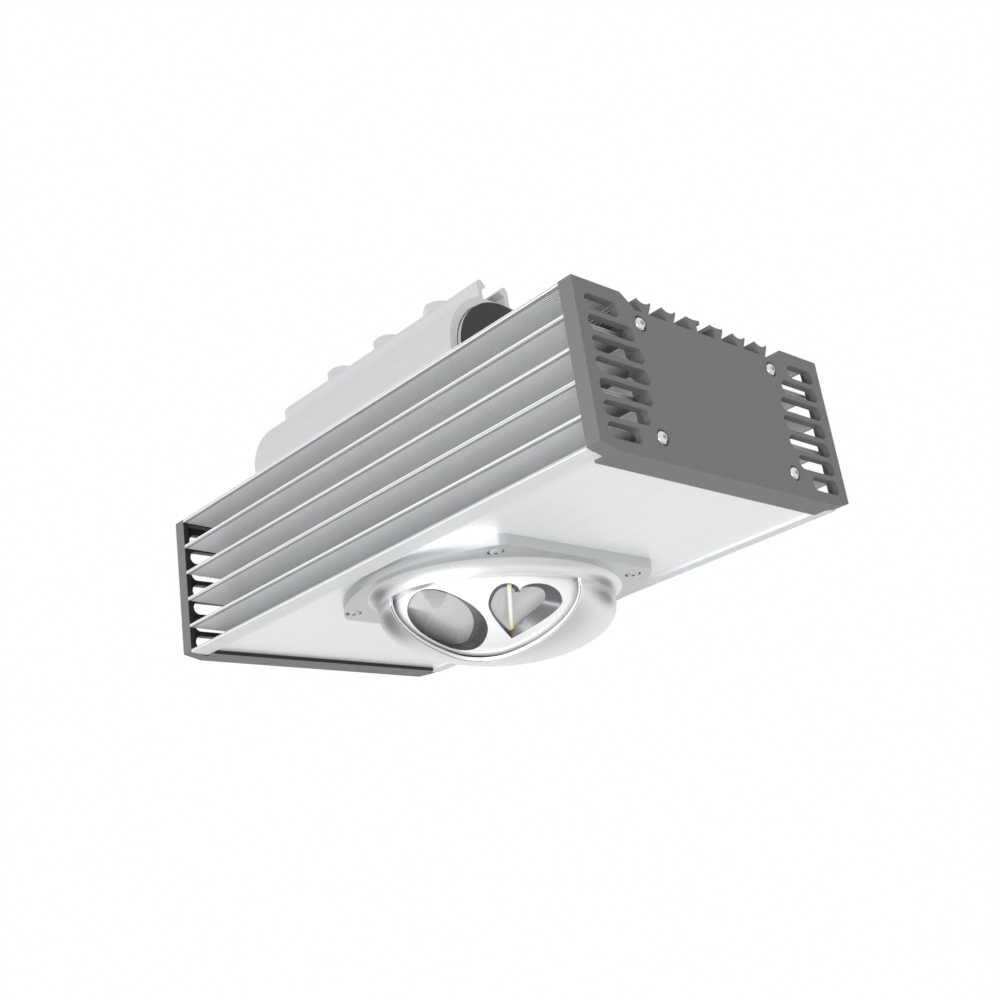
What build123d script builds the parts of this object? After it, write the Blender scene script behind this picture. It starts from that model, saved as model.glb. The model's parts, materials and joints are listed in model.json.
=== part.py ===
# A compact LED street light on a pole clamp, in millimetres.
# The body is a length of finned aluminium extrusion, closed by two ventilated end
# covers. A glass lens in a turned bezel hangs under it, half hidden by a metal
# shield, and a tubular clamp on its back takes the pole arm.
# X runs along the extrusion and the pole arm, Y across it, Z up.
# The origin is the centre of the bore's mouth, where the pole arm enters the clamp.
import math
import os

from build123d import *

os.makedirs("parts", exist_ok=True)

# Body over everything
body_length = 250.0
body_width = 142.0
body_height = 62.6

# Heat-sink extrusion
fin_rows = 6
fin_lowest = 1.75
fin_tip = 1.3
fin_root = 2.2
fin_depth = 33.5
base_thickness = 4.0
base_recess = 1.8
strip_width = 8.0
strip_drop = 1.1
core_wall = 2.5
roof_thickness = 3.2
ear_width = 24.3
ear_slope = 7.1
port_radius = 4.0

# Dovetail teeth along the roof
tooth_pairs = 3
tooth_side_gap = 1.5
tooth_height = 5.3
tooth_foot = 3.1
tooth_top = 7.4
tooth_hollow = 1.4
tooth_lip = 1.0
hook_gap = 6.4
hook_thickness = 1.6

# End covers
cover_depth = 6.2
cover_plate = 3.0
cover_wall = 2.3
cover_floor = 2.0
cover_sill = 0.6
cover_chamfer_width = 8.4
cover_lip_length = 4.7
cover_lip_thickness = 1.5
vent_count = 7
vent_bottom_margin = 3.4
vent_top_margin = 4.3
vent_share = 0.74
vent_side_margin = 4.7
vent_circle = 31.7
vent_circle_inset = 0.6
gasket_thickness = 1.0
gasket_width = 3.6
gasket_lobe = 4.2

# Cover screws
screw_outset = 0.6
screw_low = 9.35
screw_drop = 10.15
screw_thread = 3.0
screw_pilot = 2.6
screw_length = 14.0
screw_head = 5.4
screw_head_height = 1.9
screw_recess = 6.2
screw_recess_depth = 1.3
screw_socket = 2.0
screw_point = 0.7
screw_edge = 0.35
screw_crown = 0.3
screw_bulge = 0.79
screw_socket_depth = 0.45
screw_grip = 0.8

# Lens bezel and its shield
bezel_half_length = 48.4
bezel_side_margin = 1.2
bezel_arc_offset = 5.8
bezel_corner = 6.0
bezel_plate = 4.4
bezel_skirt_radius = 59.4
bezel_cove = 0.9
bezel_neck_drop = 9.8
bezel_seat_depth = 5.4
bezel_screw_x = 40.0
bezel_screw_inset_near = 23.1
bezel_screw_inset_far = 18.0
bezel_screw_recess = 6.6
shield_radius = 54.5
shield_narrowing = 0.75
shield_rim = 2.0
shield_bottom = 31.6
shield_wall = 2.0
window_x = -13.5
window_y = -3.0
window_lean = 9.0
window_corner = 14.0

# Glass lens
lens_flange_radius = 52.2
lens_flange = 4.0
lens_radius = 49.8
lens_bottom = 28.8
lens_cavity_span = 13.0
lens_cavity_radius = 15.5

# Light engine
board_side = 32.0
board_thickness = 1.6
emitter_radius = 11.0
emitter_height = 0.6
pad_thickness = 0.4
board_screw_span = 12.0
engine_recess = 23.4
lead_hole = 3.0
lead_hole_x = -19.5

# Pole clamp
clamp_length = 142.0
clamp_start = -119.0
clamp_outer_radius = 29.8
clamp_wall = 3.8
clamp_lift = 1.3
foot_half_width = 24.0
foot_thickness = 4.0
web_half_width = 20.9
web_drop = 14.9
lip_half_width = 9.1
lip_thickness = 2.5
lip_rise = 7.4
channel_floor_drop = 1.7
lip_hook = 2.7
lip_hook_drop = 4.6
lip_slope_run = 1.3
lip_slope_drop = 1.8
lip_draft = 0.2
lip_edge = 0.9

# Clamp bolts, M8
bolt_pitch = 35.5
bolt_row_shift = 1.1
bolt_count = 3
bolt_diameter = 8.0
bolt_flats = 13.0
bolt_head = 5.3
bolt_length = 12.4
bolt_chamfer = 30.0
last_bolt_turn = 30.0
nut_side = 12.6
nut_height = 4.0

# Pole sleeve and plug
sleeve_clearance = 0.3
sleeve_wall = 1.3
sleeve_proud = 2.0
sleeve_slot = 10.0
plug_flange = 1.0
plug_seat = 8.0
plug_wall = 2.0
seat_widening = 0.6

# Fixings between clamp and body, M6
fixing_diameter = 6.0
fixing_head_radius = 5.6
fixing_length = 9.8
fixing_socket = 4.0
slot_nut_length = 18.0

# Driver, terminal block and cable gland
driver_length = 150.0
driver_width = 52.0
driver_height = 30.0
driver_tab = 8.0
driver_tab_thickness = 2.0
driver_edge = 2.5
terminal_length = 22.0
terminal_width = 30.0
terminal_height = 14.0
terminal_ways = 3
terminal_screw_radius = 2.6
terminal_entry_width = 5.0
terminal_entry_height = 4.0
terminal_entry_rise = 4.0
gland_radius = 9.5
gland_drop = 1.3
gland_thread_radius = 8.0
gland_body = 9.0
gland_dome = 13.0
gland_bore = 4.2
gland_nut_height = 4.5
gland_nut_margin = 1.5
gland_hexagon = 5.4
gland_collar_radius = 8.2
gland_mouth_radius = 4.8
gland_dome_wall = 7.2
gland_dome_shoulder = 11.0
gland_dome_round = 7.8
seal_wall = 1.5
seal_bore = 3.0

# Running clearances
fit = 0.3
hole_clearance = 0.4

# Places worked out from the sizes above
half_length = body_length / 2
half_width = body_width / 2
roof_top = body_height - tooth_height
core_half_width = half_width - fin_depth
base_half_width = half_width - strip_width
shoulder_half_width = half_width - ear_width
shoulder_foot = shoulder_half_width - ear_slope
tooth_pitch = (shoulder_foot + tooth_side_gap) / tooth_pairs
fin_pitch = (body_height - fin_lowest) / (fin_rows - 1)
vent_pitch = (body_height - vent_bottom_margin - vent_top_margin) / vent_count
screw_half_span = core_half_width + screw_outset
screw_high = body_height - screw_drop
bezel_half_width = base_half_width - bezel_side_margin
bezel_arc_radius = bezel_half_width + bezel_arc_offset
gland_height = body_height / 2 - gland_drop
extrusion_half = half_length - cover_depth
base_underside = base_recess
base_upper = base_underside + base_thickness
roof_under = roof_top - roof_thickness
clamp_inner_radius = clamp_outer_radius - clamp_wall
pole_axis = body_height + clamp_outer_radius + clamp_lift
lip_top_rise = clamp_outer_radius + lip_rise
channel_floor_rise = clamp_outer_radius - channel_floor_drop
bezel_under = base_underside - bezel_plate
bezel_neck = base_underside - bezel_neck_drop
bowl_centre = bezel_neck - shield_rim
clamp_end = clamp_start + clamp_length
clamp_middle = (clamp_start + clamp_end) / 2
sleeve_radius = clamp_inner_radius - sleeve_clearance
sleeve_bore = sleeve_radius - sleeve_wall
sleeve_end = clamp_end + sleeve_proud
foot_under = roof_top + tooth_height
fixing_seat = pole_axis - clamp_inner_radius
shift = Location((-clamp_start, 0, -pole_axis))


def along_x(face, start, length):
    # A section drawn with Y to the right and Z up, extruded along X.
    plane = Plane(origin=(start, 0, 0), x_dir=(0, 1, 0), z_dir=(1, 0, 0))
    return extrude(plane * face, length, dir=(1, 0, 0))


def along_z(face, start, length):
    # A flat outline, extruded up from a height.
    return extrude(Pos(0, 0, start) * face, length, dir=(0, 0, 1))


def box_between(low, high):
    # A box given by its lowest and highest corners.
    size = [b - a for a, b in zip(low, high)]
    middle = [(a + b) / 2 for a, b in zip(low, high)]
    return Pos(*middle) * Box(*size)


def panel(y0, z0, y1, z1):
    # A rectangle in the section plane, by two corners.
    return Pos((y0 + y1) / 2, (z0 + z1) / 2) * Rectangle(abs(y1 - y0), abs(z1 - z0))


def both_sides(solid):
    # A solid together with its reflection across the middle plane.
    return solid + mirror(solid, about=Plane.XZ)


def tooth(centre, hooked):
    # One fishtail tooth with a hollow crest. The middle pair has square hooks
    # on the inner side, which hold a bolt head.
    top = roof_top + tooth_height
    foot = tooth_foot / 2
    half = tooth_top / 2
    low = roof_top - fit
    inner = centre - half
    hollow = tooth_hollow / 3 if hooked else tooth_hollow
    if hooked:
        inner = hook_gap / 2
        start = [(centre - foot, low), (centre - foot, top - hook_thickness), (inner, top - hook_thickness)]
    else:
        start = [(centre - foot, low), (centre - foot, roof_top), (inner, top - tooth_lip)]
    crest = ThreePointArc((inner, top), ((inner + centre + half) / 2, top - hollow), (centre + half, top))
    left = Polyline(*start, (inner, top))
    right = Polyline((centre + half, top), (centre + half, top - tooth_lip), (centre + foot, roof_top),
                     (centre + foot, low), (centre - foot, low))
    return make_face([left, crest, right])


def teeth():
    # The teeth on one side of the middle.
    row = Sketch()
    for index in range(tooth_pairs):
        row += tooth((index + 0.5) * tooth_pitch, index == 0)
    return row


def shoulder_line():
    # The slope from a top fin down to the roof, as a filled corner.
    return Polygon((shoulder_half_width, body_height), (half_width, body_height),
                   (half_width, body_height - fin_tip), (shoulder_half_width, body_height - fin_root),
                   (core_half_width, roof_under), (0, roof_under), (0, roof_top),
                   (shoulder_foot, roof_top), align=None)


def fin(row):
    # A tapered fin from the core wall to its tip.
    z = body_height - row * fin_pitch
    return Polygon((core_half_width - core_wall / 2, z), (half_width, z), (half_width, z - fin_tip),
                   (core_half_width - core_wall / 2, z - fin_root), align=None)


def bottom_strip():
    # The lowest fin turns down into a narrow strip beside the flat base.
    low = base_underside - strip_drop
    tip = low + (half_width - base_half_width) * cover_floor / (cover_chamfer_width * 3)
    return Polygon((base_half_width, low), (half_width, tip), (half_width, tip + fin_tip),
                   (base_half_width, base_upper - fin_root / 2), (base_half_width - core_wall, base_upper),
                   (base_half_width - core_wall, base_underside), (base_half_width, base_underside),
                   align=None)


def screw_places():
    # The cover screws on one side, in the section plane.
    return [(screw_half_span, height) for height in (screw_low, screw_high)]


def body_section():
    # One half of the extrusion: base, core, roof, fins, teeth and screw ports.
    half = shoulder_line()
    half += panel(0, base_underside, base_half_width, base_upper)
    half += panel(core_half_width - core_wall, base_underside, core_half_width, roof_top)
    half += bottom_strip()
    for row in range(1, fin_rows - 1):
        half += fin(row)
    half += teeth()
    for place in screw_places():
        half += Pos(*place) * Circle(port_radius)
    for place in screw_places():
        half -= Pos(*place) * Circle(screw_pilot / 2)
    return half


def make_body():
    # The heat sink, tapped for the bezel, light engine and driver, with a lead hole in its base.
    body = both_sides(along_x(body_section(), -extrusion_half, 2 * extrusion_half))
    for x, y in bezel_screw_places():
        body -= Pos(x, y, base_underside) * Cylinder(screw_pilot / 2, 2 * base_thickness)
    for x, y in board_screw_places():
        body -= Pos(x, y, base_underside) * Cylinder(screw_pilot / 2, 2 * base_thickness)
    for x in driver_screw_places():
        body -= Pos(x, 0, base_upper) * Cylinder(screw_pilot / 2, 2 * base_thickness * screw_grip)
    body -= Pos(lead_hole_x, 0, base_underside) * Cylinder(lead_hole, 2 * base_thickness)
    return body


def cover_outline():
    # Half of the end cover's silhouette, which carries the extrusion's teeth and shoulder.
    half = Polygon((0, 0), (half_width - cover_chamfer_width, 0), (half_width, cover_floor),
                   (half_width, body_height), (shoulder_half_width, body_height),
                   (shoulder_foot, roof_top), (0, roof_top), align=None)
    return half + teeth()


def vent(row):
    # One round-ended slot. Its inner end lies on a circle about the cover's side.
    rise = ((vent_count - 1) / 2 - row) * vent_pitch
    height = (body_height + vent_bottom_margin - vent_top_margin) / 2 + rise
    inner = half_width - vent_circle_inset - math.sqrt(vent_circle ** 2 - rise ** 2)
    outer = half_width - vent_side_margin
    return Pos((outer + inner) / 2, height) * SlotOverall(outer - inner, vent_pitch * vent_share)


def gasket_section(opening):
    # Half of a frame round the core's mouth, with a lobe at each screw.
    outer = core_half_width + (gasket_width - core_wall) / 2
    inner = outer - gasket_width
    low = base_underside + fit
    high = roof_top - fit
    face = panel(0, low, outer, high)
    for place in screw_places():
        face += Pos(*place) * Circle(gasket_lobe)
    if opening:
        face -= panel(0, low + gasket_width, inner, high - gasket_width)
        for place in screw_places():
            face -= Pos(*place) * Circle((screw_thread + hole_clearance) / 2)
    return face


def make_cover():
    # The near cover: a vented plate, a rim against the fin ends and a solid middle
    # pad that presses the gasket on the core. The lower lip reaches under the base.
    cover = along_x(cover_outline(), extrusion_half, cover_depth)
    pocket = panel(core_half_width + cover_wall * 2, cover_floor + cover_sill, half_width - cover_wall,
                   body_height - cover_wall)
    pocket = fillet(pocket.vertices(), cover_wall / 2)
    cover -= along_x(pocket, extrusion_half, cover_depth - cover_plate)
    cover -= along_x(gasket_section(False), extrusion_half, gasket_thickness)
    for row in range(vent_count):
        cover -= along_x(vent(row), extrusion_half - fit, cover_depth + 2 * fit)
    for y, z in screw_places():
        place = Location((half_length, y, z), (0, 90, 0))
        cover -= place * Cylinder((screw_thread + hole_clearance) / 2, 3 * cover_depth)
        cover -= place * Cylinder(screw_recess / 2, 2 * screw_recess_depth)
    lip_half = half_width - cover_chamfer_width
    cover += box_between((extrusion_half - cover_lip_length, 0, 0),
                         (extrusion_half + cover_plate, lip_half, cover_lip_thickness))
    return both_sides(cover)


def make_gasket():
    # The rubber frame between the core's end and the near cover.
    return both_sides(along_x(gasket_section(True), extrusion_half, gasket_thickness))


def socket_screw(length, head_radius, head_height, thread_radius, socket):
    # A low round-headed screw that points down -Z, its seat at the origin.
    point = thread_radius * screw_point
    edge = head_height * screw_edge
    crown = head_radius * screw_crown
    profile = Polyline((0, -length), (point, -length), (thread_radius, -length + point), (thread_radius, 0),
                       (head_radius, 0), (head_radius, edge))
    bulge = (head_radius * screw_bulge, head_height * screw_bulge)
    dome = ThreePointArc((head_radius, edge), bulge, (crown, head_height))
    top = Polyline((crown, head_height), (0, head_height), (0, -length))
    screw = revolve(Plane.XZ * make_face([profile, dome, top]), Axis.Z)
    depth = head_height * screw_socket_depth
    return screw - along_z(RegularPolygon(socket / 2, 6), head_height - depth, 2 * depth)


def cover_screws():
    # Four screws through the near cover into the extrusion's ports.
    screw = socket_screw(screw_length, screw_head / 2, screw_head_height, screw_pilot / 2, screw_socket)
    seat = half_length - screw_recess_depth
    pairs = [(side * y, z) for y, z in screw_places() for side in (-1, 1)]
    return Compound([Location((seat, y, z), (0, 90, 0)) * screw for y, z in pairs])


def bezel_screw_places():
    # The bezel's four fixings stand a little wider at the pole side.
    near = [(bezel_screw_x, side * (bezel_half_width - bezel_screw_inset_near)) for side in (-1, 1)]
    far = [(-bezel_screw_x, side * (bezel_half_width - bezel_screw_inset_far)) for side in (-1, 1)]
    return near + far


def board_screw_places():
    # Two screws on a diagonal of the light engine.
    return [(board_screw_span, board_screw_span), (-board_screw_span, -board_screw_span)]


def bezel_outline():
    # Two flats across the body and two shallow arcs along it.
    face = Rectangle(2 * bezel_half_length, 3 * bezel_half_length)
    face = face & (Pos(0, bezel_arc_offset) * Circle(bezel_arc_radius))
    face = face & (Pos(0, -bezel_arc_offset) * Circle(bezel_arc_radius))
    return fillet(face.vertices(), bezel_corner)


def narrowed(solid):
    # The lens and all that holds it are oval: round forms, narrowed along X.
    return scale(solid, (shield_narrowing, 1, 1))


def oval_disc(radius, low, high):
    # A flat oval plate between two heights.
    return along_z(Ellipse(radius * shield_narrowing, radius), low, high - low)


def bowl(radius, rim, bottom):
    # An upright oval wall that closes below in half an ellipsoid.
    ball = scale(Sphere(radius), (shield_narrowing, 1, (bowl_centre - bottom) / radius))
    ball = Pos(0, 0, bowl_centre) * ball
    ball -= Pos(0, 0, bowl_centre + radius) * Box(3 * radius, 3 * radius, 2 * radius)
    return ball + oval_disc(radius, bowl_centre, rim)


def make_skirt():
    # The cove that leads from the bezel's plate down to its round neck.
    middle_radius = (bezel_skirt_radius + shield_radius) / 2 - bezel_cove
    middle_height = (bezel_under + bezel_neck) / 2 + bezel_cove
    cove = ThreePointArc((bezel_skirt_radius, bezel_under), (middle_radius, middle_height),
                         (shield_radius, bezel_neck))
    rest = Polyline((shield_radius, bezel_neck), (0, bezel_neck), (0, base_underside),
                    (bezel_skirt_radius, base_underside), (bezel_skirt_radius, bezel_under))
    return narrowed(revolve(Plane.XZ * make_face([cove, rest]), Axis.Z))


def window():
    # The quarter of the shield that is left open, with its corner at the bottom rounded.
    reach = 2 * shield_radius
    lean = reach * math.tan(math.radians(window_lean))
    far_x = window_x + reach
    low_y = window_y - reach
    corners = [(window_x, window_y), (window_x + lean, low_y), (far_x, low_y), (far_x, window_y + lean)]
    opening = Polygon(*corners, align=None)
    corner = opening.vertices().sort_by(Axis.X)[0]
    return along_z(fillet(corner, window_corner), bezel_neck - reach, reach)


def make_bezel():
    # The turned bezel: a flanged plate, a cove and a bowl that shields the lens
    # all round but for one quarter.
    bezel = along_z(bezel_outline(), bezel_under, bezel_plate) + make_skirt()
    bottom = base_underside - shield_bottom
    bezel += bowl(shield_radius, bezel_neck, bottom)
    bezel -= bowl(shield_radius - shield_wall, bezel_neck, bottom + shield_wall)
    bezel -= oval_disc(lens_radius + 2 * fit, bezel_neck - fit, base_underside + fit)
    bezel -= oval_disc(lens_flange_radius + 2 * fit, base_underside - bezel_seat_depth, base_underside + fit)
    bezel -= window()
    for x, y in bezel_screw_places():
        bezel -= Pos(x, y, base_underside) * Cylinder((screw_thread + hole_clearance) / 2, 3 * bezel_plate)
        bezel -= Pos(x, y, bezel_under) * Cylinder(bezel_screw_recess / 2, 2 * screw_recess_depth)
    return bezel


def bezel_screws():
    # Four screws up through the bezel into the base.
    length = bezel_plate - screw_recess_depth + base_thickness
    screw = socket_screw(length, screw_head / 2, screw_head_height, screw_pilot / 2, screw_socket)
    seat = bezel_under + screw_recess_depth
    return Compound([Location((x, y, seat), (180, 0, 0)) * screw for x, y in bezel_screw_places()])


def make_lens():
    # The clear lens: a flange held by the bezel, a domed front and, inside,
    # two lobes hollowed out over the light source.
    top = base_underside - (bezel_seat_depth - lens_flange)
    lens = bowl(lens_radius, top - lens_flange, base_underside - lens_bottom)
    lens += oval_disc(lens_flange_radius, top - lens_flange, top)
    recess = pad_thickness + board_thickness + emitter_height + hole_clearance
    floor = base_underside - recess
    lens -= Pos(0, 0, floor + recess / 2) * Cylinder(engine_recess, recess)
    for side in (-1, 1):
        lens -= Pos(0, side * lens_cavity_span, floor) * Sphere(lens_cavity_radius)
    return lens


def make_lens_gasket():
    # The flat ring between the lens flange and the base.
    low = base_underside - bezel_seat_depth + lens_flange
    ring = oval_disc(lens_flange_radius - fit, low, base_underside)
    return ring - oval_disc(lens_radius - 2 * fit, low - fit, base_underside + fit)


def make_board():
    # The chip-on-board plate with its two screw holes.
    z = base_underside - pad_thickness - board_thickness / 2
    board = Pos(0, 0, z) * Box(board_side, board_side, board_thickness)
    for x, y in board_screw_places():
        board -= Pos(x, y, z) * Cylinder((screw_thread + hole_clearance) / 2, 2 * board_thickness)
    return board


def make_pad():
    # The thermal pad behind the board.
    z = base_underside - pad_thickness / 2
    pad = Pos(0, 0, z) * Box(board_side, board_side, pad_thickness)
    for x, y in board_screw_places():
        pad -= Pos(x, y, z) * Cylinder((screw_thread + hole_clearance) / 2, 2 * pad_thickness)
    return pad


def make_emitter():
    # The round phosphor field on the board.
    z = base_underside - pad_thickness - board_thickness - emitter_height / 2
    return Pos(0, 0, z) * Cylinder(emitter_radius, emitter_height)


def board_screws():
    # Two screws that hold the board to the base.
    length = board_thickness + pad_thickness + base_thickness * screw_grip
    screw = socket_screw(length, screw_head / 2 - fit, screw_head_height, screw_pilot / 2, screw_socket)
    seat = base_underside - pad_thickness - board_thickness
    return Compound([Location((x, y, seat), (180, 0, 0)) * screw for x, y in board_screw_places()])


def clamp_section():
    # The clamp's middle: a thick tube on a flat foot, cut off flat on top.
    face = Pos(0, pole_axis) * Circle(clamp_outer_radius)
    face += panel(-foot_half_width, foot_under, foot_half_width, foot_under + foot_thickness)
    face += panel(-web_half_width, foot_under, web_half_width, pole_axis - web_drop)
    floor = pole_axis + channel_floor_rise
    face -= panel(-lip_half_width, floor, lip_half_width, floor + clamp_outer_radius)
    return face - Pos(0, pole_axis) * Circle(clamp_inner_radius)


def clamp_lip():
    # One of the two hooks that hold the nuts.
    root = pole_axis + channel_floor_rise - lip_edge
    top = pole_axis + lip_top_rise
    inner = lip_half_width - lip_thickness
    tip = inner - lip_hook
    lip = Polygon((lip_half_width, root), (lip_half_width, top - lip_slope_drop),
                  (lip_half_width - lip_slope_run, top), (inner - lip_draft, top), (tip, top - lip_hook),
                  (inner, top - lip_hook_drop), (inner, root), align=None)
    return fillet(lip.vertices().group_by(Axis.Y)[-1], lip_edge)


def bolt_places():
    # The clamp bolts stand in a row over the middle of the tube.
    middle = clamp_middle + bolt_row_shift
    return [middle + (index - (bolt_count - 1) / 2) * bolt_pitch for index in range(bolt_count)]


def fixing_places():
    # The fixings lie under the first and last clamp bolts, whose holes let a key reach them.
    places = bolt_places()
    return [places[0], places[-1]]


def make_clamp():
    # The clamp, drilled for its bolts and its fixings.
    clamp = along_x(clamp_section(), clamp_start, clamp_length)
    clamp += both_sides(along_x(clamp_lip(), clamp_start, clamp_length))
    for x in bolt_places():
        clamp -= Pos(x, 0, pole_axis + clamp_outer_radius) * Cylinder((bolt_diameter + hole_clearance) / 2,
                                                                     clamp_outer_radius)
    for x in fixing_places():
        hole = Pos(x, 0, foot_under) * Cylinder((fixing_diameter + hole_clearance) / 2, 4 * foot_thickness)
        clamp -= hole
        clamp -= Pos(x, 0, fixing_seat) * fixing_cone(hole_clearance / 2)
    return clamp


def hex_bolt(diameter, flats, head, length):
    # A hexagon bolt pointing down -Z, its seat at the origin, with chamfered corners.
    prism = extrude(RegularPolygon(flats / 2, 6, major_radius=False), head)
    corner = flats / math.sqrt(3)
    chamfer_height = (corner - flats / 2) * math.tan(math.radians(bolt_chamfer))
    edge = [(corner, 0), (corner, head - chamfer_height), (flats / 2, head)]
    prism = prism & revolve(Plane.XZ * make_face(Polyline((0, 0), *edge, (0, head), (0, 0))), Axis.Z)
    shank = Pos(0, 0, -length / 2) * Cylinder(diameter / 2, length)
    return prism + shank


def clamp_bolts():
    # Three bolts that press on the pole arm. The last is turned a little.
    seat = pole_axis + lip_top_rise
    bolt = hex_bolt(bolt_diameter, bolt_flats, bolt_head, bolt_length)
    turns = [0] * (bolt_count - 1) + [last_bolt_turn]
    return Compound([Location((x, 0, seat), (0, 0, turn)) * bolt for x, turn in zip(bolt_places(), turns)])


def clamp_nuts():
    # Square nuts held in the hooked channel.
    z = pole_axis + channel_floor_rise + nut_height / 2
    nut = Box(nut_side, nut_side, nut_height)
    nut = chamfer(nut.faces().sort_by(Axis.Z)[-1].edges(), nut_height / 6)
    nut -= Cylinder((bolt_diameter + hole_clearance) / 2, 2 * nut_height)
    return Compound([Pos(x, 0, z) * nut for x in bolt_places()])


def make_sleeve():
    # The split sleeve that brings the tube down to the pole arm's size.
    length = sleeve_end - clamp_start
    face = Pos(0, pole_axis) * (Circle(sleeve_radius) - Circle(sleeve_bore))
    sleeve = along_x(face, clamp_start, length)
    slot_length = bolt_places()[-1] + bolt_diameter - clamp_start
    seat = Pos(0, pole_axis) * Circle(sleeve_bore + seat_widening)
    sleeve -= along_x(seat, sleeve_end - plug_seat, 2 * plug_seat)
    sleeve -= box_between((clamp_start - 1, -sleeve_slot / 2, pole_axis),
                          (clamp_start + slot_length, sleeve_slot / 2, pole_axis + 2 * sleeve_radius))
    return sleeve


def make_plug():
    # The black plug in the sleeve's blind end.
    flange = along_x(Pos(0, pole_axis) * Circle(sleeve_radius), sleeve_end, plug_flange)
    ring = Circle(sleeve_bore + seat_widening - fit / 3) - Circle(sleeve_bore - plug_wall)
    spigot = along_x(Pos(0, pole_axis) * ring, sleeve_end - plug_seat + 2 * fit, plug_seat - 2 * fit)
    return flange + spigot


def fixing_cone(margin):
    # A countersunk head pointing down -Z, its flat top at the origin.
    drop = fixing_head_radius - fixing_diameter / 2
    top = fixing_head_radius + margin
    profile = Polyline((0, 0), (top, 0), (top - drop, -drop), (0, -drop), (0, 0))
    return revolve(Plane.XZ * make_face(profile), Axis.Z)


def fixing_screws():
    # Countersunk screws from the tube's floor into the slot nuts.
    screw = fixing_cone(0) + Pos(0, 0, -fixing_length / 2) * Cylinder(fixing_diameter / 2, fixing_length)
    depth = fixing_length / 4
    screw -= along_z(RegularPolygon(fixing_socket / 2, 6, major_radius=False), -depth, 2 * depth)
    return Compound([Pos(x, 0, fixing_seat) * screw for x in fixing_places()])


def slot_nuts():
    # Tee-shaped nuts held by the hooked middle teeth.
    half = (tooth_pitch - tooth_foot) / 2 - fit
    low = roof_top + fit / 2
    step = roof_top + tooth_height - hook_thickness - fit / 2
    top = roof_top + tooth_height - fit / 2
    neck = hook_gap / 2 - fit / 2
    face = panel(-half, low, half, step) + panel(-neck, low, neck, top)
    nut = along_x(face, -slot_nut_length / 2, slot_nut_length)
    nut -= Pos(0, 0, step) * Cylinder((fixing_diameter + fit) / 2, 4 * tooth_height)
    return Compound([Pos(x, 0, 0) * nut for x in fixing_places()])


def driver_screw_places():
    # One screw in each of the driver's tabs.
    reach = (driver_length + driver_tab) / 2
    return [-reach, reach]


def driver_screws():
    # Two screws that hold the driver on the base.
    length = driver_tab_thickness + base_thickness * screw_grip
    screw = socket_screw(length, screw_head / 2, screw_head_height, screw_pilot / 2, screw_socket)
    return Compound([Pos(x, 0, base_upper + driver_tab_thickness) * screw for x in driver_screw_places()])


def make_driver():
    # The potted driver, a plain closed case with two fixing tabs, on the core's floor.
    floor = Pos(0, 0, base_upper)
    case = floor * Pos(0, 0, driver_height / 2) * Box(driver_length, driver_width, driver_height)
    case = fillet(case.edges().filter_by(Axis.X).group_by(Axis.Z)[-1], driver_edge)
    tabs_length = driver_length + 2 * driver_tab
    driver = case + floor * Pos(0, 0, driver_tab_thickness / 2) * Box(tabs_length, driver_width,
                                                                      driver_tab_thickness)
    for x in driver_screw_places():
        hole = Cylinder((screw_thread + hole_clearance) / 2, 4 * driver_tab_thickness)
        driver -= floor * Pos(x, 0, 0) * hole
    return driver


def make_terminal():
    # The terminal block between the driver and the cable gland.
    x = -driver_length / 2 - driver_tab - fit - terminal_length / 2
    low = base_upper
    block = Pos(x, 0, low + terminal_height / 2) * Box(terminal_length, terminal_width, terminal_height)
    entry = Box(terminal_length / 2, terminal_entry_width, terminal_entry_height)
    for way in range(terminal_ways):
        y = (way - (terminal_ways - 1) / 2) * terminal_width / terminal_ways
        block -= Pos(x, y, low + terminal_height) * Cylinder(terminal_screw_radius, terminal_height)
        block -= Pos(x - terminal_length / 2, y, low + terminal_entry_rise) * entry
    return block


def gland_place(x):
    # A place on the gland's axis, facing away from the body.
    return Location((x, 0, gland_height), (0, -90, 0))


def make_gland():
    # The cable gland's body: thread, flange and hexagon.
    thread = cover_depth + gland_nut_height
    body = along_z(RegularPolygon(gland_radius, 6, major_radius=False), 0, gland_hexagon)
    body += along_z(Circle(gland_collar_radius), 0, gland_body)
    body += along_z(Circle(gland_thread_radius), -thread, thread)
    body -= Cylinder(gland_bore + seal_wall, 4 * thread)
    return gland_place(-half_length) * body


def make_gland_dome():
    # The gland's domed compression nut.
    low = gland_body
    top = gland_body + gland_dome
    wall = (gland_radius, low + gland_dome_wall)
    profile = Polyline((gland_mouth_radius, top), (gland_mouth_radius, low), (gland_radius, low), wall)
    curve = ThreePointArc(wall, (gland_dome_round, low + gland_dome_shoulder), (gland_mouth_radius, top))
    dome = revolve(Plane.XZ * make_face([profile, curve]), Axis.Z)
    return gland_place(-half_length) * dome


def make_gland_seal():
    # The rubber insert inside the gland.
    ring = Circle(gland_bore + seal_wall - fit / 2) - Circle(seal_bore)
    return gland_place(-half_length) * along_z(ring, 0, gland_body)


def make_gland_nut():
    # The gland's lock nut inside the cover.
    hexagon = RegularPolygon(gland_radius + gland_nut_margin, 6, major_radius=False)
    nut = along_z(hexagon, -gland_nut_height, gland_nut_height)
    nut -= Cylinder(gland_thread_radius + fit / 2, 4 * gland_nut_height)
    return gland_place(-half_length + cover_depth - gasket_thickness) * nut


def to_far_end(shape):
    # The same piece turned round for the other end of the body.
    return mirror(shape, about=Plane.YZ)


def save(name, shape):
    # Writes one piece at its place in the part's frame.
    export_step(shift * shape, "parts/" + name + ".step")


near_cover = make_cover()
far_cover = to_far_end(near_cover) - gland_place(-half_length) * Cylinder(gland_thread_radius + fit / 2,
                                                                          4 * cover_depth)
near_screws = cover_screws()
near_gasket = make_gasket()

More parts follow.
